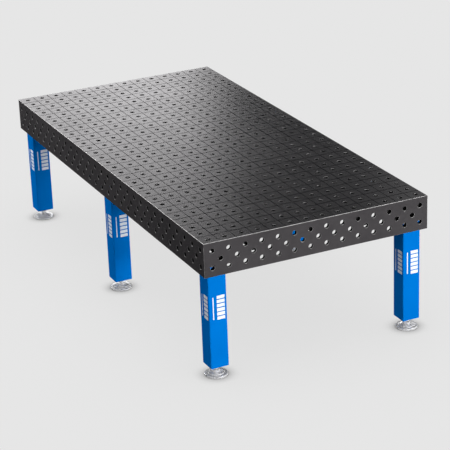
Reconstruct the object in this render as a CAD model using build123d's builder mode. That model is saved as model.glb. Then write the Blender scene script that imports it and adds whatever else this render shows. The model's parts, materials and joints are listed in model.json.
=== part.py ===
"""Five-sided perforated welding table on six levelling legs.

Millimetres, +Z up. The origin is on the floor under the middle of the table. X runs across the table,
Y runs along it, and the near short end is at -Y. Every piece is built where it sits in the table.
"""

from build123d import *
import math
import os

os.makedirs("parts", exist_ok=True)

# ---- driving dimensions -------------------------------------------------------------------------
TABLE_WIDTH = 1400.0
TABLE_LENGTH = 2900.0
TABLE_HEIGHT = 830.0
SKIRT_HEIGHT = 200.0
PLATE = 18.0
EDGE_BREAK = 1.5

# system grid: one hole every 100 mm, the first one 50 mm in from each edge
PITCH = 100.0
HOLE_RADIUS = 14.0
HOLE_CHAMFER = 1.2
COLUMNS = 14
ROWS = 29
SCRIBE_WIDTH = 3.0
SCRIBE_DEPTH = 0.5

# side plates: three staggered hole rows, the outer two in line with the top's holes
SIDE_ROW_DEPTHS = (50.0, 100.0, 150.0)

# stiffening ribs under the top, in the gaps between hole rows
RIB = 18.0
RIB_DEPTH = 94.0
LONG_RIB_X = (-585.0, -385.0, 15.0, 310.0, 515.0)
MIDDLE_RIB_SETBACK = 60.0
CROSS_RIB_Y = (-1050.0, -550.0, -55.0, 55.0, 550.0, 1050.0)
RIB_CORNER_SNIPE = 15.0

# legs
LEG_SIZE = 110.0
LEG_WALL = 5.0
LEG_CORNER_RADIUS = 6.0
LEG_INSET = 30.0
LEG_BOTTOM = 65.0
LEG_X = TABLE_WIDTH / 2 - LEG_INSET - LEG_SIZE / 2
LEG_END_Y = TABLE_LENGTH / 2 - LEG_INSET - LEG_SIZE / 2
CAP = 12.0
BASE_PLATE = 15.0
BASE_BOSS_RADIUS = 26.0
BASE_BOSS_HEIGHT = 35.0
BASE_CORNER_CUT = 6.0

# welded seats that the legs are bolted up to
SEAT = 12.0
SEAT_TOP = 697.0
SEAT_X_SIZE = 165.0
SEAT_END_Y_SIZE = 135.0
SEAT_MIDDLE_Y_SIZE = 140.0
SEAT_BOLT_OFFSET = 28.0
SEAT_HOLE_RADIUS = 8.75

# M16 seat bolts
BOLT_RADIUS = 8.0
BOLT_LENGTH = 35.0
BOLT_HEAD_FLATS = 24.0
BOLT_HEAD_HEIGHT = 10.0
WASHER_RADIUS = 15.0
WASHER_HEIGHT = 3.0
THREAD_CLEARANCE = 0.05

# M30 levelling feet
SPINDLE_RADIUS = 15.0
SPINDLE_TOP = 155.0
SPINDLE_END_CHAMFER = 2.0
COLLAR_FLATS = 36.0
COLLAR_HEIGHT = 6.0
NECK_RADIUS = 7.0
BALL_RADIUS = 11.0
BALL_HEIGHT = 18.0
LOCK_NUT_FLATS = 46.0
LOCK_NUT_HEIGHT = 18.0
PAD_RADIUS = 66.0
PAD_RIM_HEIGHT = 9.0
PAD_EDGE_BREAK = 1.5
PAD_HUB_RADIUS = 20.0
PAD_HUB_HEIGHT = 31.0
PAD_HUB_BEVEL = (2.0, 3.0)
PAD_HUB_FLARE = (4.0, 9.0)
PAD_MOUTH_RADIUS = 10.5
PAD_THROAT_RADIUS = 9.0

# the pad's upper face: how far in from the rim and how far above it each step lies
PAD_STEPS = ((2.5, 2.0), (8.0, 2.0), (18.0, 3.0), (20.5, 6.5), (27.0, 8.0))

# ---- derived heights ----------------------------------------------------------------------------
TOP_UNDERSIDE = TABLE_HEIGHT - PLATE
SKIRT_BOTTOM = TABLE_HEIGHT - SKIRT_HEIGHT
INNER_X = TABLE_WIDTH / 2 - PLATE
INNER_Y = TABLE_LENGTH / 2 - PLATE
RIB_BOTTOM = TOP_UNDERSIDE - RIB_DEPTH
HALF_LAP = TOP_UNDERSIDE - RIB_DEPTH / 2
SEAT_BOTTOM = SEAT_TOP - SEAT
TUBE_TOP = SEAT_BOTTOM - CAP
COLLAR_TOP = LEG_BOTTOM - LOCK_NUT_HEIGHT
COLLAR_BOTTOM = COLLAR_TOP - COLLAR_HEIGHT

LEG_PLACES = {
    "front_left": (-LEG_X, -LEG_END_Y),
    "front_right": (LEG_X, -LEG_END_Y),
    "middle_left": (-LEG_X, 0.0),
    "middle_right": (LEG_X, 0.0),
    "rear_left": (-LEG_X, LEG_END_Y),
    "rear_right": (LEG_X, LEG_END_Y),
}


def save(part, name):
    """Label one finished piece and write it as a STEP file."""
    part.label = name
    export_step(part, f"parts/{name}.step")


def upright_plane(x, y):
    """The plane that turned pieces are drawn on: local X is the radius and local Y the height."""
    return Plane((x, y, 0), x_dir=(1, 0, 0), z_dir=(0, -1, 0))


# ---- top plate ----------------------------------------------------------------------------------
with BuildPart() as top_plate:
    with BuildSketch(Plane.XY.offset(TOP_UNDERSIDE)):
        Rectangle(TABLE_WIDTH, TABLE_LENGTH)
    extrude(amount=PLATE)
    chamfer(top_plate.edges().filter_by(Axis.Z), EDGE_BREAK)
    chamfer(top_plate.faces().sort_by(Axis.Z)[-1].edges(), EDGE_BREAK)
    with BuildSketch(Plane.XY.offset(TOP_UNDERSIDE)):
        with GridLocations(PITCH, PITCH, COLUMNS, ROWS):
            Circle(HOLE_RADIUS)
    extrude(amount=PLATE, mode=Mode.SUBTRACT)
    with BuildSketch(Plane.XY.offset(TABLE_HEIGHT)):
        with GridLocations(PITCH, PITCH, COLUMNS, ROWS):
            Circle(HOLE_RADIUS + HOLE_CHAMFER)
    extrude(amount=-HOLE_CHAMFER, taper=45, mode=Mode.SUBTRACT)
    with BuildSketch(Plane.XY.offset(TABLE_HEIGHT)):
        with GridLocations(PITCH, PITCH, COLUMNS - 1, 1):
            Rectangle(SCRIBE_WIDTH, TABLE_LENGTH)
        with GridLocations(PITCH, PITCH, 1, ROWS - 1):
            Rectangle(TABLE_WIDTH, SCRIBE_WIDTH)
    extrude(amount=-SCRIBE_DEPTH, mode=Mode.SUBTRACT)
save(top_plate.part, "top_plate")


# ---- side and end plates ------------------------------------------------------------------------
def skirt_plate(outer_face, length, columns, broken_ends):
    """One plate of the skirt, drawn on its outer face's plane.

    Local X runs along the plate, and local Y is up, from zero at the table's top. The outer hole rows have
    this many holes and the middle row one less.
    """
    with BuildPart() as plate:
        with BuildSketch(outer_face):
            with Locations((0, -(SKIRT_HEIGHT + PLATE) / 2)):
                Rectangle(length, SKIRT_HEIGHT - PLATE)
        extrude(amount=-PLATE)
        if broken_ends:
            outer_edges = plate.faces().sort_by(Axis(outer_face.origin, outer_face.z_dir))[-1].edges()
            chamfer(outer_edges.filter_by(Axis.Z), EDGE_BREAK)
        with BuildSketch(outer_face):
            for row, depth in enumerate(SIDE_ROW_DEPTHS):
                with Locations((0, -depth)):
                    with GridLocations(PITCH, PITCH, columns - row % 2, 1):
                        Circle(HOLE_RADIUS)
        extrude(amount=-PLATE, mode=Mode.SUBTRACT)
        with BuildSketch(outer_face):
            for row, depth in enumerate(SIDE_ROW_DEPTHS):
                with Locations((0, -depth)):
                    with GridLocations(PITCH, PITCH, columns - row % 2, 1):
                        Circle(HOLE_RADIUS + HOLE_CHAMFER)
        extrude(amount=-HOLE_CHAMFER, taper=45, mode=Mode.SUBTRACT)
    return plate.part


SKIRT_FACES = {
    "end_plate_front": Plane((0, -TABLE_LENGTH / 2, TABLE_HEIGHT), x_dir=(1, 0, 0), z_dir=(0, -1, 0)),
    "end_plate_rear": Plane((0, TABLE_LENGTH / 2, TABLE_HEIGHT), x_dir=(-1, 0, 0), z_dir=(0, 1, 0)),
    "side_plate_left": Plane((-TABLE_WIDTH / 2, 0, TABLE_HEIGHT), x_dir=(0, -1, 0), z_dir=(-1, 0, 0)),
    "side_plate_right": Plane((TABLE_WIDTH / 2, 0, TABLE_HEIGHT), x_dir=(0, 1, 0), z_dir=(1, 0, 0)),
}
for name, face in SKIRT_FACES.items():
    if name.startswith("end"):
        save(skirt_plate(face, TABLE_WIDTH, COLUMNS, True), name)
    else:
        save(skirt_plate(face, 2 * INNER_Y, ROWS, False), name)


# ---- ribs ---------------------------------------------------------------------------------------
def long_rib(x, end_y):
    """A rib that runs along the table, slotted from above where the cross ribs drop into it."""
    with BuildPart() as rib:
        with BuildSketch(Plane.YZ.offset(x)) as profile:
            with Locations((0, TOP_UNDERSIDE - RIB_DEPTH / 2)):
                Rectangle(2 * end_y, RIB_DEPTH)
            chamfer(profile.vertices(), RIB_CORNER_SNIPE)
            with Locations(*[(y, TOP_UNDERSIDE) for y in CROSS_RIB_Y]):
                Rectangle(RIB, RIB_DEPTH, mode=Mode.SUBTRACT)
        extrude(amount=RIB / 2, both=True)
    return rib.part


def cross_rib(y):
    """A rib that runs across the table, slotted from below. The two beside the middle legs have deeper
    ends, which reach down to the seats."""
    with BuildPart() as rib:
        with BuildSketch(Plane.XZ.offset(-y)) as profile:
            with Locations((0, TOP_UNDERSIDE - RIB_DEPTH / 2)):
                Rectangle(2 * INNER_X, RIB_DEPTH)
            chamfer(profile.vertices(), RIB_CORNER_SNIPE)
            if abs(y) < SEAT_MIDDLE_Y_SIZE / 2:
                ear_centre_x = INNER_X - SEAT_X_SIZE / 2
                ear_centre_z = (SEAT_TOP + HALF_LAP) / 2
                with Locations((-ear_centre_x, ear_centre_z), (ear_centre_x, ear_centre_z)):
                    Rectangle(SEAT_X_SIZE, HALF_LAP - SEAT_TOP)
            with Locations(*[(x, RIB_BOTTOM) for x in LONG_RIB_X]):
                Rectangle(RIB, RIB_DEPTH, mode=Mode.SUBTRACT)
        extrude(amount=RIB / 2, both=True)
    return rib.part


MIDDLE_RIB = 3
for number, rib_x in enumerate(LONG_RIB_X, start=1):
    setback = MIDDLE_RIB_SETBACK if number == MIDDLE_RIB else 0.0
    save(long_rib(rib_x, INNER_Y - setback), f"long_rib_{number}")
for number, rib_y in enumerate(CROSS_RIB_Y, start=1):
    save(cross_rib(rib_y), f"cross_rib_{number}")


# ---- leg seats ----------------------------------------------------------------------------------
def seat(x, y):
    """A drilled plate welded inside the skirt, which one leg is bolted up to."""
    size_y = SEAT_END_Y_SIZE if y else SEAT_MIDDLE_Y_SIZE
    centre_x = math.copysign(INNER_X - SEAT_X_SIZE / 2, x)
    centre_y = math.copysign(INNER_Y - SEAT_END_Y_SIZE / 2, y) if y else 0.0
    with BuildPart() as plate:
        with BuildSketch(Plane.XY.offset(SEAT_BOTTOM)):
            with Locations((centre_x, centre_y)):
                Rectangle(SEAT_X_SIZE, size_y)
            with Locations((x, y)):
                with GridLocations(2 * SEAT_BOLT_OFFSET, 2 * SEAT_BOLT_OFFSET, 2, 2):
                    Circle(SEAT_HOLE_RADIUS, mode=Mode.SUBTRACT)
        extrude(amount=SEAT)
    return plate.part


# ---- legs ---------------------------------------------------------------------------------------
def leg_tube(x, y):
    with BuildPart() as tube:
        with BuildSketch(Plane.XY.offset(LEG_BOTTOM)):
            with Locations((x, y)):
                RectangleRounded(LEG_SIZE, LEG_SIZE, LEG_CORNER_RADIUS)
                inner = LEG_SIZE - 2 * LEG_WALL
                RectangleRounded(inner, inner, LEG_CORNER_RADIUS - LEG_WALL, mode=Mode.SUBTRACT)
        extrude(amount=TUBE_TOP - LEG_BOTTOM)
    return tube.part


def leg_cap(x, y):
    """The plate welded on the tube's top, with four M16 threads for the seat bolts."""
    with BuildPart() as cap:
        with BuildSketch(Plane.XY.offset(TUBE_TOP)):
            with Locations((x, y)):
                RectangleRounded(LEG_SIZE, LEG_SIZE, LEG_CORNER_RADIUS)
                with GridLocations(2 * SEAT_BOLT_OFFSET, 2 * SEAT_BOLT_OFFSET, 2, 2):
                    Circle(BOLT_RADIUS + THREAD_CLEARANCE, mode=Mode.SUBTRACT)
        extrude(amount=CAP)
    return cap.part


def leg_base(x, y):
    """The plate and boss welded inside the tube's foot, with the thread that the spindle turns in."""
    inner = LEG_SIZE - 2 * LEG_WALL
    with BuildPart() as base:
        with BuildSketch(Plane.XY.offset(LEG_BOTTOM)) as outline:
            with Locations((x, y)):
                Rectangle(inner, inner)
            chamfer(outline.vertices(), BASE_CORNER_CUT)
        extrude(amount=BASE_PLATE)
        with BuildSketch(Plane.XY.offset(LEG_BOTTOM + BASE_PLATE)):
            with Locations((x, y)):
                Circle(BASE_BOSS_RADIUS)
        extrude(amount=BASE_BOSS_HEIGHT)
        with BuildSketch(Plane.XY.offset(LEG_BOTTOM)):
            with Locations((x, y)):
                Circle(SPINDLE_RADIUS + THREAD_CLEARANCE)
        extrude(amount=BASE_PLATE + BASE_BOSS_HEIGHT, mode=Mode.SUBTRACT)
    return base.part


# ---- levelling feet -----------------------------------------------------------------------------
def spindle(x, y):
    """The levelling screw: a ball end, a neck, a spanner collar and the M30 thread at its outer size."""
    neck_start = math.sqrt(BALL_RADIUS**2 - NECK_RADIUS**2)
    with BuildPart() as screw:
        with BuildSketch(upright_plane(x, y)):
            with BuildLine():
                ThreePointArc(
                    (0, BALL_HEIGHT - BALL_RADIUS),
                    (BALL_RADIUS, BALL_HEIGHT),
                    (NECK_RADIUS, BALL_HEIGHT + neck_start),
                )
                Polyline(
                    (NECK_RADIUS, BALL_HEIGHT + neck_start),
                    (NECK_RADIUS, COLLAR_TOP),
                    (SPINDLE_RADIUS, COLLAR_TOP),
                    (SPINDLE_RADIUS, SPINDLE_TOP - SPINDLE_END_CHAMFER),
                    (SPINDLE_RADIUS - SPINDLE_END_CHAMFER, SPINDLE_TOP),
                    (0, SPINDLE_TOP),
                    (0, BALL_HEIGHT - BALL_RADIUS),
                )
            make_face()
        revolve(axis=Axis((x, y, 0), (0, 0, 1)))
        with BuildSketch(Plane.XY.offset(COLLAR_BOTTOM)):
            with Locations((x, y)):
                RegularPolygon(COLLAR_FLATS / 2, 6, major_radius=False)
        extrude(amount=COLLAR_HEIGHT)
    return screw.part


def foot_pad(x, y):
    """The turned pad: a stepped disc with a coned hub that holds the spindle's ball."""
    socket_radius = BALL_RADIUS + THREAD_CLEARANCE
    throat_height = BALL_HEIGHT + math.sqrt(socket_radius**2 - PAD_THROAT_RADIUS**2)
    with BuildPart() as pad:
        with BuildSketch(upright_plane(x, y)):
            with BuildLine():
                Polyline(
                    (0, BALL_HEIGHT - socket_radius),
                    (0, 0),
                    (PAD_RADIUS - PAD_EDGE_BREAK, 0),
                    (PAD_RADIUS, PAD_EDGE_BREAK),
                    (PAD_RADIUS, PAD_RIM_HEIGHT),
                    *[(PAD_RADIUS - inward, PAD_RIM_HEIGHT + rise) for inward, rise in PAD_STEPS],
                    (PAD_HUB_RADIUS + PAD_HUB_FLARE[0], PAD_HUB_HEIGHT - PAD_HUB_FLARE[1]),
                    (PAD_HUB_RADIUS, PAD_HUB_HEIGHT - PAD_HUB_BEVEL[1]),
                    (PAD_HUB_RADIUS - PAD_HUB_BEVEL[0], PAD_HUB_HEIGHT),
                    (PAD_MOUTH_RADIUS, PAD_HUB_HEIGHT),
                    (PAD_THROAT_RADIUS, throat_height),
                )
                ThreePointArc(
                    (PAD_THROAT_RADIUS, throat_height),
                    (socket_radius, BALL_HEIGHT),
                    (0, BALL_HEIGHT - socket_radius),
                )
            make_face()
        revolve(axis=Axis((x, y, 0), (0, 0, 1)))
    return pad.part


for place, (leg_x, leg_y) in LEG_PLACES.items():
    save(seat(leg_x, leg_y), f"seat_{place}")
    save(leg_tube(leg_x, leg_y), f"leg_tube_{place}")
    save(leg_cap(leg_x, leg_y), f"leg_cap_{place}")
    save(leg_base(leg_x, leg_y), f"leg_base_{place}")
    save(spindle(leg_x, leg_y), f"spindle_{place}")
    save(foot_pad(leg_x, leg_y), f"foot_pad_{place}")


# ---- fasteners, each kind in one file -----------------------------------------------------------
CROWN_TAPER = -60
LEG_POINTS = list(LEG_PLACES.values())

with BuildPart() as lock_nuts:
    with BuildSketch(Plane.XY.offset(COLLAR_TOP)):
        with Locations(*LEG_POINTS):
            RegularPolygon(LOCK_NUT_FLATS / 2, 6, major_radius=False)
    extrude(amount=LOCK_NUT_HEIGHT)
    with BuildSketch(Plane.XY.offset(COLLAR_TOP)):
        with Locations(*LEG_POINTS):
            Circle(LOCK_NUT_FLATS / 2)
    extrude(amount=LOCK_NUT_HEIGHT, taper=CROWN_TAPER, mode=Mode.INTERSECT)
    with BuildSketch(Plane.XY.offset(LEG_BOTTOM)):
        with Locations(*LEG_POINTS):
            Circle(LOCK_NUT_FLATS / 2)
    extrude(amount=-LOCK_NUT_HEIGHT, taper=CROWN_TAPER, mode=Mode.INTERSECT)
    with BuildSketch(Plane.XY.offset(COLLAR_TOP)):
        with Locations(*LEG_POINTS):
            Circle(SPINDLE_RADIUS + THREAD_CLEARANCE)
    extrude(amount=LOCK_NUT_HEIGHT, mode=Mode.SUBTRACT)
save(lock_nuts.part, "lock_nuts")

with BuildPart() as seat_washers:
    with BuildSketch(Plane.XY.offset(SEAT_TOP)):
        with Locations(*LEG_POINTS):
            with GridLocations(2 * SEAT_BOLT_OFFSET, 2 * SEAT_BOLT_OFFSET, 2, 2):
                Circle(WASHER_RADIUS)
                Circle(SEAT_HOLE_RADIUS, mode=Mode.SUBTRACT)
    extrude(amount=WASHER_HEIGHT)
save(seat_washers.part, "seat_washers")

with BuildPart() as seat_bolts:
    head_bottom = SEAT_TOP + WASHER_HEIGHT
    head_top = head_bottom + BOLT_HEAD_HEIGHT
    with BuildSketch(Plane.XY.offset(head_bottom)):
        with Locations(*LEG_POINTS):
            with GridLocations(2 * SEAT_BOLT_OFFSET, 2 * SEAT_BOLT_OFFSET, 2, 2):
                RegularPolygon(BOLT_HEAD_FLATS / 2, 6, major_radius=False)
    extrude(amount=BOLT_HEAD_HEIGHT)
    with BuildSketch(Plane.XY.offset(head_top)):
        with Locations(*LEG_POINTS):
            with GridLocations(2 * SEAT_BOLT_OFFSET, 2 * SEAT_BOLT_OFFSET, 2, 2):
                Circle(BOLT_HEAD_FLATS / 2)
    extrude(amount=-BOLT_HEAD_HEIGHT, taper=CROWN_TAPER, mode=Mode.INTERSECT)
    with BuildSketch(Plane.XY.offset(head_bottom)):
        with Locations(*LEG_POINTS):
            with GridLocations(2 * SEAT_BOLT_OFFSET, 2 * SEAT_BOLT_OFFSET, 2, 2):
                Circle(BOLT_RADIUS)
    extrude(amount=-BOLT_LENGTH)
save(seat_bolts.part, "seat_bolts")
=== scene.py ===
"""The welding table's looks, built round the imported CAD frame. Metres, +Z up."""
import json
import math
import random

import bmesh
import bpy
from mathutils import Matrix, Vector


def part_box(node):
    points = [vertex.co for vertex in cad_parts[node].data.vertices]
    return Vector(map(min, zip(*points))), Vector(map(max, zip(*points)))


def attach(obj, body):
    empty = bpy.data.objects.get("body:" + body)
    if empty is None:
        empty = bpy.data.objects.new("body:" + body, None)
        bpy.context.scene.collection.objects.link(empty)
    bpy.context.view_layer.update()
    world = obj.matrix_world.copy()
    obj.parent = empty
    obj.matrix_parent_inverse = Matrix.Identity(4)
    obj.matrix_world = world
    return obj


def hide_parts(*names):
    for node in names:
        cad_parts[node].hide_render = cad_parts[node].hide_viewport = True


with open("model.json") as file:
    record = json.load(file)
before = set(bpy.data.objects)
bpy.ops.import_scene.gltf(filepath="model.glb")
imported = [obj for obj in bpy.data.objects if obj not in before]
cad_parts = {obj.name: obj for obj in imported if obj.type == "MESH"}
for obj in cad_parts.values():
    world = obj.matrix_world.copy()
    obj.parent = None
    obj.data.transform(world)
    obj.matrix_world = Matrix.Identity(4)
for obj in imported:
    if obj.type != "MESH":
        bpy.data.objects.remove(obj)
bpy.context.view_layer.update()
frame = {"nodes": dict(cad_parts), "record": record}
scene = bpy.context.scene
scene.view_settings.view_transform = "Standard"
random.seed(7)

# ---- the table's main sizes, as the CAD has them ------------------------------------------------
TABLE_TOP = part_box("top_plate")[1].z
OUTER_X, OUTER_Y = 0.700, 1.450
PLATE = 0.018
UNDERSIDE = TABLE_TOP - PLATE
INNER_X, INNER_Y = OUTER_X - PLATE, OUTER_Y - PLATE
SKIRT_BOTTOM = TABLE_TOP - 0.200
PITCH = 0.100
COLUMNS, ROWS = 14, 29
LEG_SIZE = 0.110
LEG_HALF = LEG_SIZE / 2
LEG_X, LEG_Y = 0.615, 1.365
LEG_PLACES = {"front_left": (-LEG_X, -LEG_Y), "front_right": (LEG_X, -LEG_Y),
              "middle_left": (-LEG_X, 0.0), "middle_right": (LEG_X, 0.0),
              "rear_left": (-LEG_X, LEG_Y), "rear_right": (LEG_X, LEG_Y)}


# ---- node helpers -------------------------------------------------------------------------------
class Nodes:
    """A material's node tree, with short calls that add and link nodes."""

    def __init__(self, name):
        self.material = bpy.data.materials.new(name)
        self.material.use_nodes = True
        self.tree = self.material.node_tree
        self.shader = self.tree.nodes["Principled BSDF"]
        self.place = self.tree.nodes.new("ShaderNodeTexCoord").outputs["Object"]

    def feed(self, socket, value):
        if isinstance(value, bpy.types.NodeSocket):
            self.tree.links.new(value, socket)
        else:
            socket.default_value = value

    def noise(self, scale, detail=3.0, roughness=0.5, place=None):
        node = self.tree.nodes.new("ShaderNodeTexNoise")
        self.feed(node.inputs["Vector"], place or self.place)
        self.feed(node.inputs["Scale"], scale)
        self.feed(node.inputs["Detail"], detail)
        self.feed(node.inputs["Roughness"], roughness)
        return node.outputs["Fac"]

    def stretched(self, x, y, z):
        node = self.tree.nodes.new("ShaderNodeMapping")
        self.feed(node.inputs["Vector"], self.place)
        self.feed(node.inputs["Scale"], (x, y, z))
        return node.outputs[0]

    def split(self, vector):
        node = self.tree.nodes.new("ShaderNodeSeparateXYZ")
        self.feed(node.inputs[0], vector)
        return node.outputs[0], node.outputs[1], node.outputs[2]

    def edge(self, reach):
        """One near the piece's sharp edges and zero on its flats."""
        bevel = self.tree.nodes.new("ShaderNodeBevel")
        bevel.samples = 4
        self.feed(bevel.inputs["Radius"], reach)
        flat = self.tree.nodes.new("ShaderNodeNewGeometry").outputs["Normal"]
        likeness = self.tree.nodes.new("ShaderNodeVectorMath")
        likeness.operation = "DOT_PRODUCT"
        self.feed(likeness.inputs[0], bevel.outputs["Normal"])
        self.feed(likeness.inputs[1], flat)
        return self.span(likeness.outputs["Value"], 0.985, 0.93)

    def calc(self, operation, a, b=0.0):
        node = self.tree.nodes.new("ShaderNodeMath")
        node.operation = operation
        for socket, value in zip(node.inputs, (a, b)):
            self.feed(socket, value)
        return node.outputs[0]

    def weighted(self, *parts):
        """The sum of values, each times its share."""
        total = None
        for value, share in parts:
            part = self.calc("MULTIPLY", value, share)
            total = part if total is None else self.calc("ADD", total, part)
        return total

    def span(self, value, low, high, to_low=0.0, to_high=1.0):
        node = self.tree.nodes.new("ShaderNodeMapRange")
        for key, part in (("Value", value), ("From Min", low), ("From Max", high),
                          ("To Min", to_low), ("To Max", to_high)):
            self.feed(node.inputs[key], part)
        return node.outputs[0]

    def spread(self, noise, to_low, to_high):
        """Spreads a noise, whose values bunch round a half, over a range."""
        return self.span(noise, 0.3, 0.7, to_low, to_high)

    def mix(self, factor, a, b):
        node = self.tree.nodes.new("ShaderNodeMix")
        node.data_type = "RGBA"
        self.feed(node.inputs[0], factor)
        self.feed(node.inputs[6], a)
        self.feed(node.inputs[7], b)
        return node.outputs[2]

    def mottle(self, noise, dark, light):
        """Clouds of two colours, with soft borders between them."""
        return self.mix(self.span(noise, 0.36, 0.64), dark, light)

    def bump(self, height, strength, distance):
        node = self.tree.nodes.new("ShaderNodeBump")
        self.feed(node.inputs["Height"], height)
        self.feed(node.inputs["Strength"], strength)
        self.feed(node.inputs["Distance"], distance)
        self.feed(self.shader.inputs["Normal"], node.outputs["Normal"])

    def surface(self, **values):
        for key, value in values.items():
            self.feed(self.shader.inputs[key.replace("_", " ")], value)


def rgb(r, g, b):
    return (r, g, b, 1.0)


# ---- materials ----------------------------------------------------------------------------------
STEEL_DARK = (0.0400, 0.0375, 0.0395)
STEEL_LIGHT = (0.0560, 0.0525, 0.0550)
# the paler edge colour is partly bare worn metal, partly a painted highlight along the edges
STEEL_RUBBED_AND_HIGHLIGHT = rgb(0.22, 0.215, 0.215)
STEEL_SHINE = rgb(1.0, 0.965, 0.99)
WEAR_AND_HIGHLIGHT_REACH = 0.0012
SEAM_LOW, SEAM_HIGH = 0.003, 0.005


def steel_material(name, light_and_shade_scale, rough_base, metallic, specular):
    """Blackened steel: mottled oxide, fine grain, and a paler band along the sharp edges that is partly
    bare worn metal and partly a painted highlight. The seam between the top and the sides gets no such
    band."""
    n = Nodes(name)
    cloud = n.noise(2.6, 4.0, 0.6)
    blotch = n.noise(34.0, 3.0, 0.6)
    grain = n.noise(700.0, 2.0)
    # the scale makes this copy lighter or darker, as painted light and shade for the faces it covers
    dark, light = (rgb(*(part * light_and_shade_scale for part in c)) for c in (STEEL_DARK, STEEL_LIGHT))
    colour = n.mottle(n.weighted((cloud, 0.5), (blotch, 0.3), (grain, 0.2)), dark, light)
    # painted highlight along the edges, partly real edge wear: a paler bare-metal colour where the bevel
    # finds an edge
    wear_and_highlight = n.calc("MULTIPLY", n.edge(WEAR_AND_HIGHLIGHT_REACH), n.span(n.noise(55.0, 2.0), 0.42, 0.62))
    height = n.split(n.place)[2]
    from_seam = n.calc("ABSOLUTE", n.calc("SUBTRACT", height, UNDERSIDE))
    wear_and_highlight = n.calc("MULTIPLY", wear_and_highlight, n.span(from_seam, SEAM_LOW, SEAM_HIGH))
    rough = n.calc("ADD", n.spread(cloud, rough_base, rough_base + 0.04), n.spread(grain, 0.0, 0.03))
    n.surface(Base_Color=n.mix(wear_and_highlight, colour, STEEL_RUBBED_AND_HIGHLIGHT), Roughness=rough)
    n.shader.inputs["Metallic"].default_value = metallic
    n.shader.inputs["Specular IOR Level"].default_value = specular
    n.shader.inputs["Specular Tint"].default_value = STEEL_SHINE
    n.bump(n.weighted((grain, 0.35), (blotch, 0.6)), 0.10, 0.0003)
    return n.material


def bare_and_highlight_material(name, bright, dull):
    """Bare metal of the broken edges, dulled here and there by the oxide; its pale colour is partly a
    painted highlight along the edges.
    """
    n = Nodes(name)
    worn = n.noise(55.0, 3.0, 0.6)
    tooling = n.noise(40.0, 2.0, 0.5, n.stretched(1.0, 1.0, 30.0))
    n.surface(Base_Color=n.mix(n.span(worn, 0.34, 0.64), dull, bright),
              Roughness=n.spread(worn, 0.36, 0.26))
    n.shader.inputs["Metallic"].default_value = 0.70
    n.shader.inputs["Specular IOR Level"].default_value = 0.20
    n.bump(tooling, 0.08, 0.0002)
    return n.material


def matt_material(name, dark, light, rough_low, rough_high):
    """A dark surface with no shine to speak of: scribed grooves, weld scale, and the painted shade on the
    top's hole chamfers.
    """
    n = Nodes(name)
    blotch = n.noise(60.0, 4.0, 0.6)
    grain = n.noise(520.0, 2.0)
    n.surface(Base_Color=n.mottle(n.weighted((blotch, 0.6), (grain, 0.4)), dark, light),
              Roughness=n.spread(blotch, rough_low, rough_high))
    n.shader.inputs["Specular IOR Level"].default_value = 0.0
    n.bump(grain, 0.12, 0.0003)
    return n.material


# hole-wall colours: a painted lit band at the mouth and painted shade deeper in
BORE_PAINTED_LIT = (rgb(0.27, 0.264, 0.264), rgb(0.35, 0.343, 0.343))
BORE_PAINTED_SHADE = (rgb(0.004, 0.0038, 0.0038), rgb(0.009, 0.0085, 0.0085))
LIT_MOUTH_START, LIT_MOUTH_END = 0.0036, 0.0047
LIT_MOUTH_RAGGED = 0.0006


def bore_material(name):
    """Hole walls: painted light near the mouth, as deep as the lamps reach, and painted shade, near black,
    further in.
    """
    n = Nodes(name)
    blotch = n.noise(60.0, 4.0, 0.6)
    ragged = n.noise(240.0, 3.0)
    x, y, z = n.split(n.place)
    depth = n.calc("MINIMUM", n.calc("SUBTRACT", OUTER_X, n.calc("ABSOLUTE", x)),
                   n.calc("SUBTRACT", OUTER_Y, n.calc("ABSOLUTE", y)))
    depth = n.calc("MINIMUM", depth, n.calc("SUBTRACT", TABLE_TOP, z))
    depth = n.calc("ADD", depth, n.spread(ragged, -LIT_MOUTH_RAGGED, LIT_MOUTH_RAGGED))
    # painted light on the wall near the mouth, painted shade (near black) further in
    mouth = n.span(depth, LIT_MOUTH_START, LIT_MOUTH_END, 1.0, 0.0)
    n.surface(Base_Color=n.mix(mouth, n.mottle(blotch, *BORE_PAINTED_SHADE), n.mottle(blotch, *BORE_PAINTED_LIT)),
              Roughness=n.spread(blotch, 0.55, 0.70))
    n.shader.inputs["Specular IOR Level"].default_value = 0.0
    n.bump(n.noise(30.0, 2.0, 0.5, n.stretched(20.0, 20.0, 20.0)), 0.10, 0.0002)
    return n.material


PAINT_DARK, PAINT_LIGHT = rgb(0.0, 0.113, 0.418), rgb(0.0, 0.127, 0.458)
PAINT_SCUFFED = rgb(0.01, 0.150, 0.52)
CORNER_START, CORNER_END = 0.0505, 0.0545


def paint_material(name):
    """Blue powder coat with its fine orange peel, thinned a little on the corners."""
    n = Nodes(name)
    cloud = n.noise(5.0, 3.0)
    peel = n.noise(420.0, 2.0)
    x, y, z = n.split(n.place)
    from_middle_x = n.calc("ABSOLUTE", n.calc("SUBTRACT", n.calc("ABSOLUTE", x), LEG_X))
    half_bay = n.calc("SUBTRACT", n.calc("ABSOLUTE", y), LEG_Y / 2)
    from_middle_y = n.calc("ABSOLUTE", n.calc("SUBTRACT", n.calc("ABSOLUTE", half_bay), LEG_Y / 2))
    corner = n.span(n.calc("MINIMUM", from_middle_x, from_middle_y), CORNER_START, CORNER_END)
    scuff = n.calc("MULTIPLY", corner, n.span(n.noise(90.0, 4.0), 0.52, 0.62))
    colour = n.mix(n.spread(cloud, 0.0, 1.0), PAINT_DARK, PAINT_LIGHT)
    colour = n.mix(n.calc("MULTIPLY", scuff, 0.5), colour, PAINT_SCUFFED)
    rough = n.calc("ADD", n.spread(cloud, 0.34, 0.42), n.calc("MULTIPLY", scuff, 0.12))
    n.surface(Base_Color=colour, Roughness=rough)
    n.shader.inputs["Specular IOR Level"].default_value = 0.0
    n.bump(peel, 0.10, 0.0004)
    return n.material


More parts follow.
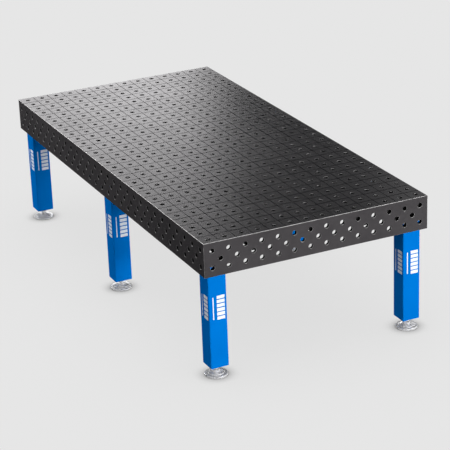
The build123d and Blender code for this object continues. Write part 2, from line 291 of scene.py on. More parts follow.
def plated_material(name, bright, dull, rough_low, rough_high, metallic):
    """Bare or plated steel with handling smears and fine turning marks."""
    n = Nodes(name)
    smear = n.noise(42.0, 4.0, 0.6)
    turning = n.noise(30.0, 2.0, 0.5, n.stretched(1.0, 1.0, 60.0))
    n.surface(Base_Color=n.mix(n.span(smear, 0.35, 0.65), bright, dull),
              Roughness=n.span(n.calc("ADD", smear, turning), 0.7, 1.3, rough_low, rough_high))
    n.shader.inputs["Metallic"].default_value = metallic
    n.bump(turning, 0.06, 0.0003)
    return n.material


def ink_material(name, faded, full):
    """White screen print, a little worn."""
    n = Nodes(name)
    worn = n.noise(160.0, 4.0, 0.6)
    n.surface(Base_Color=n.mix(n.span(worn, 0.30, 0.62), faded, full),
              Roughness=n.spread(worn, 0.45, 0.6))
    n.shader.inputs["Specular IOR Level"].default_value = 0.3
    n.bump(worn, 0.05, 0.0002)
    return n.material


# Four copies of one blackened steel. Their tones differ as painted light and shade, set for how the lamps
# fall on the top, the end plates, the side plates and the inside; the top copy is also glossier and a
# little metallic.
TOP_STEEL = steel_material("blackened_steel_top", 0.40, 0.190, 0.30, 0.50)
END_STEEL = steel_material("blackened_steel_end", 0.86, 0.50, 0.0, 0.15)
SIDE_STEEL = steel_material("blackened_steel_side", 0.78, 0.55, 0.0, 0.02)
UNDER_STEEL = steel_material("blackened_steel_inside", 0.85, 0.55, 0.0, 0.08)
# pale bare metal on the chamfers: partly real bare steel, partly a painted highlight along the edges
BARE_STEEL_AND_HIGHLIGHT = bare_and_highlight_material("bare_edge_steel_and_highlight", rgb(0.50, 0.49, 0.49), rgb(0.30, 0.295, 0.295))
# the hole walls carry painted light at the mouth and painted shade deeper in
BORE_LIT_AND_SHADED = bore_material("hole_wall_painted_light_and_shade")
# near black: the scribed lines' own dark, also put on the top's hole chamfers as painted shade
SCRIBE_AND_HOLE_SHADE = matt_material("scribed_groove_and_hole_shade", rgb(0.004, 0.004, 0.005), rgb(0.009, 0.009, 0.010),
                           0.70, 0.85)
WELD = matt_material("weld_scale", rgb(0.060, 0.056, 0.056), rgb(0.110, 0.104, 0.102), 0.40, 0.60)
LEG_PAINT = paint_material("blue_powder_coat")
POLISHED = plated_material("polished_steel", rgb(0.86, 0.86, 0.87), rgb(0.80, 0.80, 0.815),
                           0.27, 0.34, 0.50)
ZINC = plated_material("zinc_plate", rgb(0.62, 0.61, 0.58), rgb(0.50, 0.49, 0.47), 0.32, 0.44, 0.70)
INK = ink_material("white_print", rgb(0.52, 0.58, 0.66), rgb(0.70, 0.72, 0.75))
SLOT_LOOKS = {"table_steel": UNDER_STEEL, "leg_paint": LEG_PAINT, "plated_steel": ZINC,
              "polished_steel": POLISHED}

record_slots = {part["node"]: part["material_slot"] for part in frame["record"]["subparts"]}
for name, node in frame["nodes"].items():
    for slot in node.material_slots:
        slot.material = SLOT_LOOKS[record_slots[name]]


# ---- mesh helpers -------------------------------------------------------------------------------
def keep(bm, name, materials, body, replaces=(), smooth_angle=None):
    """Turns a bmesh into a piece of the scene riding a body."""
    mesh = bpy.data.meshes.new(name)
    bmesh.ops.remove_doubles(bm, verts=bm.verts, dist=2e-6)
    bmesh.ops.dissolve_degenerate(bm, edges=bm.edges, dist=1e-7)
    bm.normal_update()
    bm.to_mesh(mesh)
    bm.free()
    for material in materials:
        mesh.materials.append(material)
    if smooth_angle is not None:
        mesh.shade_smooth()
        mesh.set_sharp_from_angle(angle=math.radians(smooth_angle))
    piece = bpy.data.objects.new(name, mesh)
    scene.collection.objects.link(piece)
    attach(piece, body)
    if replaces:
        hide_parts(*replaces)


def ring_faces(bm, outer, inner, material=0, materials=None):
    """Joins two closed rings of vertices with quads."""
    count = len(outer)
    for i in range(count):
        j = (i + 1) % count
        face = bm.faces.new((outer[i], outer[j], inner[j], inner[i]))
        face.material_index = materials[i] if materials else material


def full_turn(count):
    """Even angles round a full turn."""
    return [2 * math.pi * i / count for i in range(count)]


def steps_between(low, high, step):
    """Even steps from low to high, as near as they come to this length."""
    count = max(1, round((high - low) / step))
    return [low + (high - low) * i / count for i in range(count + 1)]


# ---- perforated plates --------------------------------------------------------------------------
HOLE_RADIUS = 0.014
HOLE_CHAMFER = 0.0012
EDGE_BREAK = 0.0015
SCRIBE_HALF_X, SCRIBE_HALF_Y = 0.0020, 0.0030
SCRIBE_DEPTH = 0.0007
HOLE_SIDES = 40
EIGHTH = HOLE_SIDES // 8
SHEET_SMOOTH_ANGLE = 11
FACE, BARE_AND_HIGHLIGHT, BORE, INNER, SCRIBE_AND_SHADE, RIM_X, RIM_Y = range(7)


def sheet_materials(face_steel):
    """A sheet's materials, in the order of the names above."""
    return (face_steel, BARE_STEEL_AND_HIGHLIGHT, BORE_LIT_AND_SHADED, UNDER_STEEL, SCRIBE_AND_HOLE_SHADE, SIDE_STEEL, END_STEEL)


def square_steps():
    """Even steps round a square of half-width 1, from the middle of its right side."""
    steps = []
    for i in range(HOLE_SIDES):
        turn, along = divmod(i + EIGHTH, 2 * EIGHTH)
        a, b = 1.0, along / EIGHTH - 1.0
        for _ in range(turn % 4):
            a, b = -b, a
        steps.append((a, b))
    return steps


STEPS = square_steps()
CIRCLE = [(math.cos(angle), math.sin(angle)) for angle in full_turn(HOLE_SIDES)]


def cell(bm, put, centre, u_span, v_span, outside):
    """One hole with the plate round it. outside says which of the cell's right, top, left and bottom
    sides lie on the plate's own edge; the others end in half a scribed line. It is None on a plate
    with no scribed lines, where every side ends flush."""
    cu, cv = centre
    scribed = outside is not None

    def border(insets):
        points = []
        for a, b in STEPS:
            u = cu + a * ((u_span[1] - insets[0] - cu) if a > 0 else (cu - u_span[0] - insets[2]))
            v = cv + b * ((v_span[1] - insets[1] - cv) if b > 0 else (cv - v_span[0] - insets[3]))
            points.append((u, v))
        return points

    def sides(i):
        a, b = STEPS[i]
        return (a > 0.999, b > 0.999, a < -0.999, b < -0.999)

    def circle(radius, depth):
        return [bm.verts.new(put(cu + c * radius, cv + s * radius, -depth)) for c, s in CIRCLE]

    no_insets = (0.0, 0.0, 0.0, 0.0)
    rim = circle(HOLE_RADIUS + HOLE_CHAMFER, 0.0)
    throat = circle(HOLE_RADIUS, HOLE_CHAMFER)
    exit_ring = circle(HOLE_RADIUS, PLATE)
    back = [bm.verts.new(put(u, v, -PLATE)) for u, v in border(no_insets)]
    if scribed:
        depths, kinds, walls = [], [], []
        for i in range(HOLE_SIDES):
            here = [on and out for on, out in zip(sides(i), outside)]
            ahead = [on and out for on, out in zip(sides((i + 1) % HOLE_SIDES), outside)]
            depths.append(EDGE_BREAK if any(here) else SCRIBE_DEPTH)
            both = [p and q for p, q in zip(here, ahead)]
            # the plate's outer edge breaks take the pale bare metal, partly a painted highlight; the groove
            # faces take the scribed material
            kinds.append(BARE_AND_HIGHLIGHT if any(both) else SCRIBE_AND_SHADE)
            walls.append(RIM_X if both[0] or both[2] else RIM_Y if both[1] or both[3] else None)
        widths = (SCRIBE_HALF_X, SCRIBE_HALF_Y, SCRIBE_HALF_X, SCRIBE_HALF_Y)
        insets = [EDGE_BREAK if out else width for out, width in zip(outside, widths)]
        flat = [bm.verts.new(put(u, v, 0.0)) for u, v in border(insets)]
        low = [bm.verts.new(put(u, v, -d)) for (u, v), d in zip(border(no_insets), depths)]
        ring_faces(bm, low, flat, materials=kinds)
        for i, wall in enumerate(walls):
            if wall is not None:
                j = (i + 1) % HOLE_SIDES
                bm.faces.new((back[i], back[j], low[j], low[i])).material_index = wall
    else:
        flat = [bm.verts.new(put(u, v, 0.0)) for u, v in border(no_insets)]
    ring_faces(bm, flat, rim, FACE)
    # the top's hole chamfers take the near-black matt material, as painted shade round each hole
    ring_faces(bm, rim, throat, SCRIBE_AND_SHADE if scribed else BARE_AND_HIGHLIGHT)
    ring_faces(bm, throat, exit_ring, BORE)
    ring_faces(bm, exit_ring, back, INNER)


def flat_patch(bm, put, u_points, v_points, depth, material, flip):
    """A grid of quads on the plate's outer or inner face."""
    grid = [[bm.verts.new(put(u, v, -depth)) for u in u_points] for v in v_points]
    for j in range(len(v_points) - 1):
        for i in range(len(u_points) - 1):
            quad = [grid[j][i], grid[j][i + 1], grid[j + 1][i + 1], grid[j + 1][i]]
            bm.faces.new(quad[::-1] if flip else quad).material_index = material


def on_top(u, v, w):
    return Vector((u, v, TABLE_TOP + w))


bm = bmesh.new()
for column in range(COLUMNS):
    for row in range(ROWS):
        u = (column - (COLUMNS - 1) / 2) * PITCH
        v = (row - (ROWS - 1) / 2) * PITCH
        outside = (column == COLUMNS - 1, row == ROWS - 1, column == 0, row == 0)
        cell(bm, on_top, (u, v), (u - PITCH / 2, u + PITCH / 2), (v - PITCH / 2, v + PITCH / 2), outside)
keep(bm, "top_sheet", sheet_materials(TOP_STEEL), "table", ("top_plate",),
     SHEET_SMOOTH_ANGLE)

ROW_DEPTHS = (0.050, 0.100, 0.150)
PATCH_STEP = 0.010


def skirt(name, node, outer, along, half_length, columns, steel, broken_ends):
    """A side plate. outer is its outer face's normal and along the way its length runs, up being +Z."""
    outer, along = Vector(outer), Vector(along)
    is_end = abs(outer.y) > 0.5
    reach = OUTER_Y if is_end else OUTER_X

    def put(u, v, w):
        return along * u + Vector((0, 0, v)) + outer * (reach + w)

    bm = bmesh.new()
    flush = half_length - (EDGE_BREAK if broken_ends else 0.0)
    for index, depth in enumerate(ROW_DEPTHS):
        v = TABLE_TOP - depth
        v_span = (v - PITCH / 4, v + PITCH / 4)
        count = columns - index % 2
        for column in range(count):
            u = (column - (count - 1) / 2) * PITCH
            u_span = (max(u - PITCH / 2, -flush), min(u + PITCH / 2, flush))
            cell(bm, put, (u, v), u_span, v_span, None)
        covered = min(count * PITCH / 2, flush)
        if covered < flush:
            for low, high in ((-flush, -covered), (covered, flush)):
                u_points = steps_between(low, high, PATCH_STEP)
                v_points = steps_between(*v_span, PATCH_STEP / 2)
                flat_patch(bm, put, u_points, v_points, 0.0, FACE, False)
                flat_patch(bm, put, u_points, v_points, PLATE, INNER, True)
    points = steps_between(-flush, flush, PATCH_STEP)
    bands = ((SKIRT_BOTTOM, TABLE_TOP - ROW_DEPTHS[-1] - PITCH / 4),
             (TABLE_TOP - ROW_DEPTHS[0] + PITCH / 4, UNDERSIDE))
    for band in bands:
        flat_patch(bm, put, points, band, 0.0, FACE, False)
        flat_patch(bm, put, points, band, PLATE, INNER, True)
    # the plate's top and bottom edges take the hole-wall material too: painted light near the outer face,
    # painted shade further in
    for v, flip in ((SKIRT_BOTTOM, False), (UNDERSIDE, True)):
        front = [bm.verts.new(put(u, v, 0.0)) for u in points]
        rear = [bm.verts.new(put(u, v, -PLATE)) for u in points]
        for i in range(len(points) - 1):
            quad = (front[i + 1], front[i], rear[i], rear[i + 1])
            bm.faces.new(quad[::-1] if flip else quad).material_index = BORE
    drop = half_length - flush
    corners = [(flush, 0.0), (half_length, -drop), (half_length, -PLATE), (flush, -PLATE)]
    for side in (1, -1):
        low = [bm.verts.new(put(side * u, SKIRT_BOTTOM, w)) for u, w in corners]
        high = [bm.verts.new(put(side * u, UNDERSIDE, w)) for u, w in corners]
        for k, material in ((0, BARE_AND_HIGHLIGHT), (1, RIM_X if is_end else RIM_Y), (2, INNER)):
            if drop or k == 1:
                quad = (low[k], low[k + 1], high[k + 1], high[k])
                bm.faces.new(quad if side > 0 else quad[::-1]).material_index = material
        if drop:
            bm.faces.new(low[::-1] if side > 0 else low).material_index = BORE
            bm.faces.new(high if side > 0 else high[::-1]).material_index = BORE
    keep(bm, name, sheet_materials(steel), "table", (node,), SHEET_SMOOTH_ANGLE)


skirt("end_sheet_front", "end_plate_front", (0, -1, 0), (1, 0, 0), OUTER_X, COLUMNS, END_STEEL, True)
skirt("end_sheet_rear", "end_plate_rear", (0, 1, 0), (-1, 0, 0), OUTER_X, COLUMNS, END_STEEL, True)
skirt("side_sheet_left", "side_plate_left", (-1, 0, 0), (0, -1, 0), INNER_Y, ROWS, SIDE_STEEL, False)
skirt("side_sheet_right", "side_plate_right", (1, 0, 0), (0, 1, 0), INNER_Y, ROWS, SIDE_STEEL, False)


# ---- turned, hexagonal and threaded surfaces ----------------------------------------------------
def ring_about(bm, x, y, z, radii, angles, turn=0.0):
    """A ring of vertices about a vertical axis."""
    return [bm.verts.new((x + radius * math.cos(angle + turn), y + radius * math.sin(angle + turn), z))
            for radius, angle in zip(radii, angles)]


def soften(profile, radius, steps=3):
    """Rounds a profile's corners a little, so that its edges catch the light."""
    out = [profile[0]]
    for before, corner, after in zip(profile, profile[1:], profile[2:]):
        before, corner, after = Vector(before), Vector(corner), Vector(after)
        reach = min(radius, (before - corner).length * 0.45, (after - corner).length * 0.45)
        start = corner + (before - corner).normalized() * reach
        stop = corner + (after - corner).normalized() * reach
        for k in range(steps + 1):
            t = k / steps
            out.append(tuple(start * (1 - t) ** 2 + corner * 2 * t * (1 - t) + stop * t ** 2))
    out.append(profile[-1])
    return out


def turned(bm, x, y, profile, sides):
    """Spins a profile of (radius, height) points about a vertical axis; the profile runs top to bottom
    on the outside, so that the faces look outwards."""
    angles = full_turn(sides)
    rings = []
    for radius, z in profile:
        if radius < 1e-6:
            rings.append([bm.verts.new((x, y, z))])
        else:
            rings.append(ring_about(bm, x, y, z, [radius] * sides, angles))
    for upper, lower in zip(rings, rings[1:]):
        for i in range(sides):
            j = (i + 1) % sides
            if len(upper) == 1 and len(lower) > 1:
                bm.faces.new((upper[0], lower[i], lower[j]))
            elif len(lower) == 1 and len(upper) > 1:
                bm.faces.new((upper[i], lower[0], upper[j]))
            elif len(upper) > 1:
                bm.faces.new((upper[i], lower[i], lower[j], upper[j]))


HEX_SIDES = 72
CROWN_SLOPE = math.tan(math.radians(30))
CROWN_START = 0.97
CROWN_STEPS = (0.0, 0.25, 0.5, 0.75, 1.0)
HEX_HOLE_BEVEL = 0.0012
FLAT_AHEAD = math.pi / 6


def hexed(bm, x, y, flats, low, high, hole=0.0, crown_low=True, turn=FLAT_AHEAD):
    """A hexagon with its upper corners crowned, and its lower ones too, with an optional hole."""
    angles = full_turn(HEX_SIDES)
    inscribed, corner = flats / 2 * CROWN_START, flats / math.sqrt(3)
    rise = (corner - inscribed) * CROWN_SLOPE

    def edge(angle):
        return flats / 2 / math.cos((angle + math.pi / 6) % (math.pi / 3) - math.pi / 6)

    def hex_ring(z, limit):
        return ring_about(bm, x, y, z, [min(edge(angle), limit) for angle in angles], angles, turn)

    def round_ring(z, radius):
        return ring_about(bm, x, y, z, [radius] * HEX_SIDES, angles, turn)

    levels = [(high - rise * t, inscribed + (corner - inscribed) * t) for t in CROWN_STEPS]
    if crown_low:
        levels += [(low + rise * t, inscribed + (corner - inscribed) * t) for t in CROWN_STEPS[::-1]]
    else:
        levels.append((low, corner))
    rings = [hex_ring(z, limit) for z, limit in levels]
    for upper, lower in zip(rings, rings[1:]):
        ring_faces(bm, lower, upper)
    if hole:
        mouth = hole + HEX_HOLE_BEVEL
        chain = [rings[0], round_ring(high, mouth), round_ring(high - HEX_HOLE_BEVEL, hole),
                 round_ring(low + HEX_HOLE_BEVEL, hole), round_ring(low, mouth), rings[-1]]
        for outer_ring, inner_ring in zip(chain, chain[1:]):
            ring_faces(bm, outer_ring, inner_ring)
    else:
        bm.faces.new(rings[0])
        bm.faces.new(rings[-1][::-1])


THREAD_CREST, THREAD_ROOT, THREAD_PITCH = 0.01495, 0.01325, 0.0035
THREAD_SIDES = 36
# one turn's section: the radius, and how far up the pitch it lies
THREAD_FORM = ((THREAD_ROOT, 0.0), (THREAD_CREST, 0.36), (THREAD_CREST, 0.50), (THREAD_ROOT, 0.86),
               (THREAD_ROOT, 1.0))


def threaded(bm, x, y, low, high):
    """A screw thread's surface, as one long strip wound round a vertical axis."""
    total = int((high - low) / THREAD_PITCH * THREAD_SIDES)
    before = None
    for k in range(total + 1):
        angle = 2 * math.pi * k / THREAD_SIDES
        start = low + THREAD_PITCH * k / THREAD_SIDES
        column = [bm.verts.new((x + radius * math.cos(angle), y + radius * math.sin(angle),
                                min(start + THREAD_PITCH * t, high + THREAD_PITCH)))
                  for radius, t in THREAD_FORM]
        if before:
            for a in range(len(THREAD_FORM) - 1):
                bm.faces.new((before[a], column[a], column[a + 1], before[a + 1]))
        before = column


# ---- levelling feet and their lock nuts ---------------------------------------------------------
LEG_BOTTOM = 0.065
NUT_FLATS, NUT_HEIGHT, NUT_HOLE = 0.046, 0.018, 0.01505
COLLAR_TOP = LEG_BOTTOM - NUT_HEIGHT
COLLAR_FLATS, COLLAR_HEIGHT = 0.036, 0.006
SPINDLE_TOP = 0.155
PAD_SIDES, SPINDLE_SIDES = 96, 48
PAD_PROFILE = ((0.0, 0.0069), (0.0075, 0.0100), (0.0109, 0.0170), (0.0100, 0.0235), (0.0092, 0.0258),
               (0.0105, 0.0309), (0.0180, 0.0309), (0.0200, 0.0280), (0.0240, 0.0220),
               (0.0380, 0.0172), (0.0440, 0.0162), (0.0462, 0.0124), (0.0500, 0.0116),
               (0.0580, 0.0110), (0.0632, 0.0110), (0.0659, 0.0086), (0.0659, 0.0016),
               (0.0645, 0.0001), (0.0, 0.0001))
PAD_CORNER_RADIUS = 0.0012
BALL_RADIUS, BALL_CENTRE, BALL_BOTTOM = 0.0109, 0.018, 0.0071
BALL_ANGLES = [math.radians(50.0 - 14.0 * k) for k in range(10)]
NECK_RADIUS, NECK_BOTTOM = 0.0070, 0.0300
NECK_TOP = COLLAR_TOP - 0.004
BALL_END = ([(0.0, NECK_TOP), (NECK_RADIUS, NECK_TOP), (NECK_RADIUS, NECK_BOTTOM)]
            + [(BALL_RADIUS * math.cos(a), BALL_CENTRE + BALL_RADIUS * math.sin(a)) for a in BALL_ANGLES]
            + [(0.0, BALL_BOTTOM)])
SCREW_CORE = [(0.0, SPINDLE_TOP), (THREAD_ROOT - 0.001, SPINDLE_TOP), (THREAD_ROOT, SPINDLE_TOP - 0.0015),
              (THREAD_ROOT, COLLAR_TOP - 0.001)]
THREAD_LOW, THREAD_HIGH = COLLAR_TOP + 0.0005, SPINDLE_TOP - 0.0055

for place, (x, y) in LEG_PLACES.items():
    bm = bmesh.new()
    turned(bm, x, y, soften(PAD_PROFILE, PAD_CORNER_RADIUS), PAD_SIDES)
    keep(bm, "pad_turned_" + place, (POLISHED,), "pad_" + place,
         ("foot_pad_" + place,), 40)

    bm = bmesh.new()
    turned(bm, x, y, BALL_END, SPINDLE_SIDES)
    hexed(bm, x, y, COLLAR_FLATS, COLLAR_TOP - COLLAR_HEIGHT, COLLAR_TOP)
    turned(bm, x, y, SCREW_CORE, SPINDLE_SIDES)
    threaded(bm, x, y, THREAD_LOW, THREAD_HIGH)
    keep(bm, "screw_turned_" + place, (POLISHED,), "screw_" + place,
         ("spindle_" + place,), 35)

bm = bmesh.new()
for x, y in LEG_PLACES.values():
    hexed(bm, x, y, NUT_FLATS, COLLAR_TOP, LEG_BOTTOM, NUT_HOLE)
keep(bm, "lock_nuts_crowned", (ZINC,), "table", ("lock_nuts",), 25)

# ---- seat bolts and washers ---------------------------------------------------------------------
SEAT_TOP = 0.697
SEAT_UNDER = SEAT_TOP - 0.012
BOLT_OFFSET = 0.028
BOLT_SIDES, WASHER_SIDES = 24, 40
HEAD_FLATS, HEAD_HEIGHT = 0.024, 0.010
WASHER_TOP = SEAT_TOP + 0.003
SHANK_RADIUS, SHANK_TIP_RADIUS = 0.0079, 0.0068
SHANK_END, SHANK_TIP = SEAT_TOP - 0.0210, SEAT_TOP - 0.0218
SHANK = [(0.0, WASHER_TOP), (SHANK_RADIUS, WASHER_TOP), (SHANK_RADIUS, SHANK_END),
         (SHANK_TIP_RADIUS, SHANK_TIP), (0.0, SHANK_TIP)]
WASHER_HOLE, WASHER_FACE, WASHER_RADIUS = 0.0088, 0.0146, 0.0150
WASHER = [(WASHER_HOLE, WASHER_TOP), (WASHER_FACE, WASHER_TOP), (WASHER_RADIUS, SEAT_TOP + 0.0026),
          (WASHER_RADIUS, SEAT_TOP), (WASHER_HOLE, SEAT_TOP), (WASHER_HOLE, WASHER_TOP)]

bolts, washers = bmesh.new(), bmesh.new()
for leg_x, leg_y in LEG_PLACES.values():
    for x in (leg_x - BOLT_OFFSET, leg_x + BOLT_OFFSET):
        for y in (leg_y - BOLT_OFFSET, leg_y + BOLT_OFFSET):
            hexed(bolts, x, y, HEAD_FLATS, WASHER_TOP, SEAT_TOP + 0.013, crown_low=False,
                  turn=random.uniform(0.0, math.pi / 3))
            turned(bolts, x, y, SHANK, BOLT_SIDES)
            turned(washers, x, y, WASHER, WASHER_SIDES)
keep(bolts, "seat_bolts_crowned", (ZINC,), "table", ("seat_bolts",), 25)
keep(washers, "seat_washers_turned", (ZINC,), "table", ("seat_washers",), 30)

# ---- weld beads ---------------------------------------------------------------------------------
BEAD_SIZE = 0.006
BEAD_SECTION = ((1.0, 0.0), (0.72, 0.34), (0.52, 0.52), (0.34, 0.72), (0.0, 1.0), (0.0, 0.0))
RIPPLE = 0.0045
RIPPLE_CREST, RIPPLE_DIP, RIPPLE_UNEVEN = 0.09, -0.05, 0.05
BEAD_END = 0.62
WELD_SMOOTH_ANGLE = 50


def bead(bm, start, end, side_a, side_b):
    """A rippled fillet along a corner; side_a and side_b point away from it along the two plates."""
    start, end, side_a, side_b = (Vector(v) for v in (start, end, side_a, side_b))
    count = max(2, round((end - start).length / RIPPLE))
    rings = []
    for k in range(count + 1):
        if k in (0, count):
            swell = BEAD_SIZE * BEAD_END
        else:
            ripple = RIPPLE_CREST if k % 2 else RIPPLE_DIP
            swell = BEAD_SIZE * (1.0 + ripple + random.uniform(-RIPPLE_UNEVEN, RIPPLE_UNEVEN))
        here = start.lerp(end, k / count)
        rings.append([bm.verts.new(here + side_a * swell * a + side_b * swell * b)
                      for a, b in BEAD_SECTION])
    flip = (end - start).normalized().dot(side_a.cross(side_b)) < 0
    for first, second in zip(rings, rings[1:]):
        for i in range(len(BEAD_SECTION)):
            j = (i + 1) % len(BEAD_SECTION)
            quad = (first[i], first[j], second[j], second[i])
            bm.faces.new(quad if flip else quad[::-1])
    bm.faces.new(rings[0][::-1] if flip else rings[0])
    bm.faces.new(rings[-1] if flip else rings[-1][::-1])


HALF_RIB = 0.009
LONG_RIBS = (-0.585, -0.385, 0.015, 0.310, 0.515)
CROSS_RIBS = (-1.050, -0.550, -0.055, 0.055, 0.550, 1.050)
LONG_STITCHES = (-1.35, -1.15, -0.95, -0.65, -0.45, -0.15, 0.15, 0.45, 0.65, 0.95, 1.15, 1.35)
CROSS_STITCHES = (-0.64, -0.48, -0.20, 0.16, 0.41, 0.60)
LONG_STITCH_HALF, CROSS_STITCH_HALF = 0.030, 0.025

bm = bmesh.new()
for rib_x in LONG_RIBS:
    for side in (-1, 1):
        x = rib_x + side * HALF_RIB
        for middle in LONG_STITCHES:
            bead(bm, (x, middle - LONG_STITCH_HALF, UNDERSIDE), (x, middle + LONG_STITCH_HALF, UNDERSIDE),
                 (side, 0, 0), (0, 0, -1))
for rib_y in CROSS_RIBS:
    for side in (-1, 1):
        y = rib_y + side * HALF_RIB
        for middle in CROSS_STITCHES:
            bead(bm, (middle - CROSS_STITCH_HALF, y, UNDERSIDE), (middle + CROSS_STITCH_HALF, y, UNDERSIDE),
                 (0, side, 0), (0, 0, -1))
keep(bm, "rib_welds", (WELD,), "table", smooth_angle=WELD_SMOOTH_ANGLE)

# how far a seat's welds keep from the table's corner, and how far along each plate they run
CORNER_GAP = 0.010
SEAT_RUN_Y, SEAT_RUN_X, MIDDLE_SEAT_HALF = 0.125, 0.155, 0.060
SEAM_GAP, EDGE_GAP = 0.008, 0.004

bm = bmesh.new()
for x, y in LEG_PLACES.values():
    sx, sy = math.copysign(1, x), math.copysign(1, y) if y else 0
    wall_x, wall_y = sx * INNER_X, sy * INNER_Y
    if y:
        low_y, high_y = sorted((sy * (INNER_Y - CORNER_GAP), sy * (INNER_Y - SEAT_RUN_Y)))
    else:
        low_y, high_y = -MIDDLE_SEAT_HALF, MIDDLE_SEAT_HALF
    low_x, high_x = sorted((sx * (INNER_X - CORNER_GAP), sx * (INNER_X - SEAT_RUN_X)))
    for z, up_way in ((SEAT_TOP, 1), (SEAT_UNDER, -1)):
        bead(bm, (wall_x, low_y, z), (wall_x, high_y, z), (-sx, 0, 0), (0, 0, up_way))
        if y:
            bead(bm, (low_x, wall_y, z), (high_x, wall_y, z), (0, -sy, 0), (0, 0, up_way))
for sx in (-1, 1):
    for sy in (-1, 1):
        for low_z, high_z in ((SKIRT_BOTTOM + EDGE_GAP, SEAT_UNDER - SEAM_GAP),
                              (SEAT_TOP + SEAM_GAP, UNDERSIDE - EDGE_GAP)):
            bead(bm, (sx * INNER_X, sy * INNER_Y, low_z), (sx * INNER_X, sy * INNER_Y, high_z),
                 (-sx, 0, 0), (0, -sy, 0))
keep(bm, "seat_welds", (WELD,), "table", smooth_angle=WELD_SMOOTH_ANGLE)

# ---- printed bars on the legs -------------------------------------------------------------------
PRINT_THICK = 0.0002
PRINT_SUNK = 0.0001
PRINT_LOW, PRINT_HIGH = 0.355, 0.498
BARS = 6
BAR_GAP = 0.006
BAR_HEIGHT = (PRINT_HIGH - PRINT_LOW - BAR_GAP * (BARS - 1)) / BARS
# where the bars start and end, as shares of the leg's width
WIDE_START, WIDE_END = 0.45, 0.88
THIN_START, THIN_END = 0.22, 0.275
THIN_LOW, THIN_HIGH = PRINT_LOW + 0.004, PRINT_HIGH - 0.006


def slab(bm, start, end, low, high, turn):
    """A printed bar on the leg's front face, turned on to one of its four faces."""
    xs = (-LEG_HALF + start * LEG_SIZE, -LEG_HALF + end * LEG_SIZE)
    ys = (-LEG_HALF - PRINT_THICK, -LEG_HALF + PRINT_SUNK)
    v = [bm.verts.new(turn @ Vector((x, y, z))) for z in (low, high) for y in ys for x in xs]
    for quad in ((0, 2, 3, 1), (4, 5, 7, 6), (0, 1, 5, 4), (2, 6, 7, 3), (0, 4, 6, 2), (1, 3, 7, 5)):
        bm.faces.new([v[i] for i in quad])


for place, (x, y) in LEG_PLACES.items():
    bm = bmesh.new()
    for quarter in range(4):
        turn = Matrix.Translation((x, y, 0.0)) @ Matrix.Rotation(quarter * math.pi / 2, 4, "Z")
        for bar in range(BARS):
            low = PRINT_LOW + bar * (BAR_HEIGHT + BAR_GAP)
            slab(bm, WIDE_START, WIDE_END, low, low + BAR_HEIGHT, turn)
        slab(bm, THIN_START, THIN_END, THIN_LOW, THIN_HIGH, turn)
    keep(bm, "leg_print_" + place, (INK,), "table")

# ---- camera -------------------------------------------------------------------------------------
CAMERA_AT = Vector((-4.3417, -9.5108, 4.532))
CAMERA_AZIMUTH, CAMERA_ELEVATION, CAMERA_ROLL = (math.radians(v) for v in (-25.088, 22.119, -2.149))
CAMERA_LENS, CAMERA_SENSOR = 143.77, 36.0
CAMERA_REACH = 200.0

back = Vector((math.sin(CAMERA_AZIMUTH) * math.cos(CAMERA_ELEVATION),
               -math.cos(CAMERA_AZIMUTH) * math.cos(CAMERA_ELEVATION), math.sin(CAMERA_ELEVATION)))
level = back.cross(Vector((0, 0, -1))).normalized()
upright = level.cross(-back)
right = level * math.cos(CAMERA_ROLL) + upright * math.sin(CAMERA_ROLL)
up = upright * math.cos(CAMERA_ROLL) - level * math.sin(CAMERA_ROLL)
camera = bpy.data.objects.new("camera", bpy.data.cameras.new("camera"))
camera.matrix_world = Matrix.Translation(CAMERA_AT) @ Matrix((right, up, back)).transposed().to_4x4()
camera.data.lens = CAMERA_LENS
camera.data.sensor_width = CAMERA_SENSOR
camera.data.clip_end = CAMERA_REACH
scene.collection.objects.link(camera)
scene.camera = camera

# ---- floor and far walls, which glow evenly but for the shade close to the table ----------------
FLOOR_HALF = 40.0
WALL_HEIGHT = 60.0
FLOOR_OPEN, FLOOR_UNDER = 0.791, 0.723
CONTACT_SHADE = 0.12

floor_mesh = bpy.data.meshes.new("floor")
corners = [(-FLOOR_HALF, -FLOOR_HALF), (FLOOR_HALF, -FLOOR_HALF),
           (FLOOR_HALF, FLOOR_HALF), (-FLOOR_HALF, FLOOR_HALF)]
walls = [(i, (i + 1) % 4, (i + 1) % 4 + 4, i + 4) for i in range(4)]
floor_mesh.from_pydata([(x, y, z) for z in (0.0, WALL_HEIGHT) for x, y in corners], [],
                       [(0, 1, 2, 3)] + walls)
floor = bpy.data.objects.new("floor", floor_mesh)
scene.collection.objects.link(floor)
f = Nodes("floor")


def openness(distance, samples):
    """One where nothing is within this distance, and less beside or under the table."""
    node = f.tree.nodes.new("ShaderNodeAmbientOcclusion")
    node.samples = samples
    f.feed(node.inputs["Distance"], distance)
    return node.outputs["AO"]


wide = f.span(openness(1.1, 8), 0.55, 0.95, FLOOR_UNDER, FLOOR_OPEN)
tight = f.span(openness(0.10, 12), 0.25, 0.98, CONTACT_SHADE, 1.0)
glow = f.tree.nodes.new("ShaderNodeEmission")
f.feed(glow.inputs["Strength"], f.calc("MULTIPLY", wide, tight))
end = next(node for node in f.tree.nodes if node.type == "OUTPUT_MATERIAL")
f.feed(end.inputs["Surface"], glow.outputs[0])
floor_mesh.materials.append(f.material)
floor.visible_diffuse = False
floor.visible_glossy = False
floor.visible_shadow = False

# ---- lights -------------------------------------------------------------------------------------
CARD_DISTANCE = 60.0
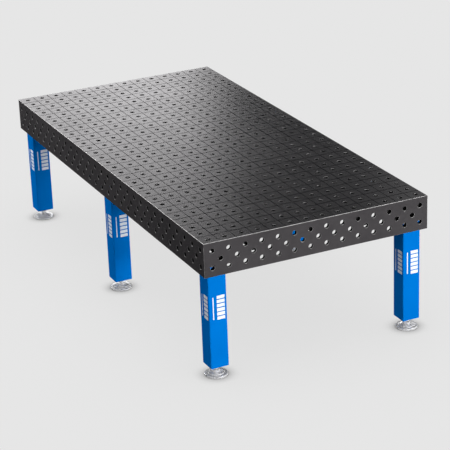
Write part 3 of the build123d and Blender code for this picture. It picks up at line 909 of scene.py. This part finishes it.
# softboxes light the table but don't show in it: at, target, width, height, power
SOFTBOXES = {
    "key_front": ((0.9, -10.5, 1.05), (0.0, -1.0, 0.4), 3.2, 1.9, 930.0),
    "key_high": ((1.2, -9.5, 3.10), (0.0, -0.5, 0.8), 2.4, 0.7, 330.0),
    "fill_left": ((-6.5, 4.0, 1.1), (-0.7, 0.6, 0.4), 3.0, 1.6, 260.0),
    "fill_high": ((-6.0, 2.5, 4.4), (-0.7, 0.3, 0.7), 2.4, 1.4, 110.0),
    "fill_right": ((6.8, -1.5, 1.0), (0.7, 0.0, 0.4), 3.0, 1.6, 260.0),
    "fill_rear": ((-0.8, 9.5, 1.0), (0.0, 1.0, 0.4), 3.0, 1.6, 560.0),
    "overhead": ((0.0, -1.0, 6.0), (0.0, 0.0, 0.8), 5.0, 5.0, 100.0),
}
# far cards show in the steel but don't light it: azimuth from +Y towards +X and elevation, seen from
# the table's middle, the angles that the card covers across and up, and its brightness
CARDS = {
    "card_back": (20.4, 8.7, 8.4, 23.4, 3.7),
    "card_right": (41.5, 12.0, 18.0, 24.0, 0.55),
    "card_ceiling": (130.0, 57.0, 24.0, 16.0, 3.5),
    "card_rear_left": (-21.5, 20.0, 14.0, 12.0, 5.0),
}


def area_light(name, at, target, width, height, power):
    """A rectangular area light at a point, facing a target."""
    lamp = bpy.data.lights.new(name, "AREA")
    lamp.shape = "RECTANGLE"
    lamp.size, lamp.size_y = width, height
    lamp.energy = power
    light = bpy.data.objects.new(name, lamp)
    light.location = at
    light.rotation_euler = (Vector(target) - Vector(at)).to_track_quat("-Z", "Y").to_euler()
    light.visible_camera = False
    scene.collection.objects.link(light)
    return light


def from_table(azimuth, elevation, distance):
    """The point in this direction from the table's middle."""
    a, e = math.radians(azimuth), math.radians(elevation)
    return (distance * math.sin(a) * math.cos(e), distance * math.cos(a) * math.cos(e),
            TABLE_TOP + distance * math.sin(e))


def covered_by(angle):
    """How long a card is that covers this angle."""
    return 2 * CARD_DISTANCE * math.tan(math.radians(angle / 2))


for name, (at, target, width, height, power) in SOFTBOXES.items():
    area_light(name, at, target, width, height, power).visible_glossy = False
for name, (azimuth, elevation, across, upwards, brightness) in CARDS.items():
    width, height = covered_by(across), covered_by(upwards)
    area_light(name, from_table(azimuth, elevation, CARD_DISTANCE), (0.0, 0.0, TABLE_TOP),
               width, height, brightness * math.pi * width * height).visible_diffuse = False

world = bpy.data.worlds.new("studio")
world.use_nodes = True
world.node_tree.nodes["Background"].inputs["Color"].default_value = rgb(0.95, 0.97, 1.0)
world.node_tree.nodes["Background"].inputs["Strength"].default_value = 0.12
scene.world = world
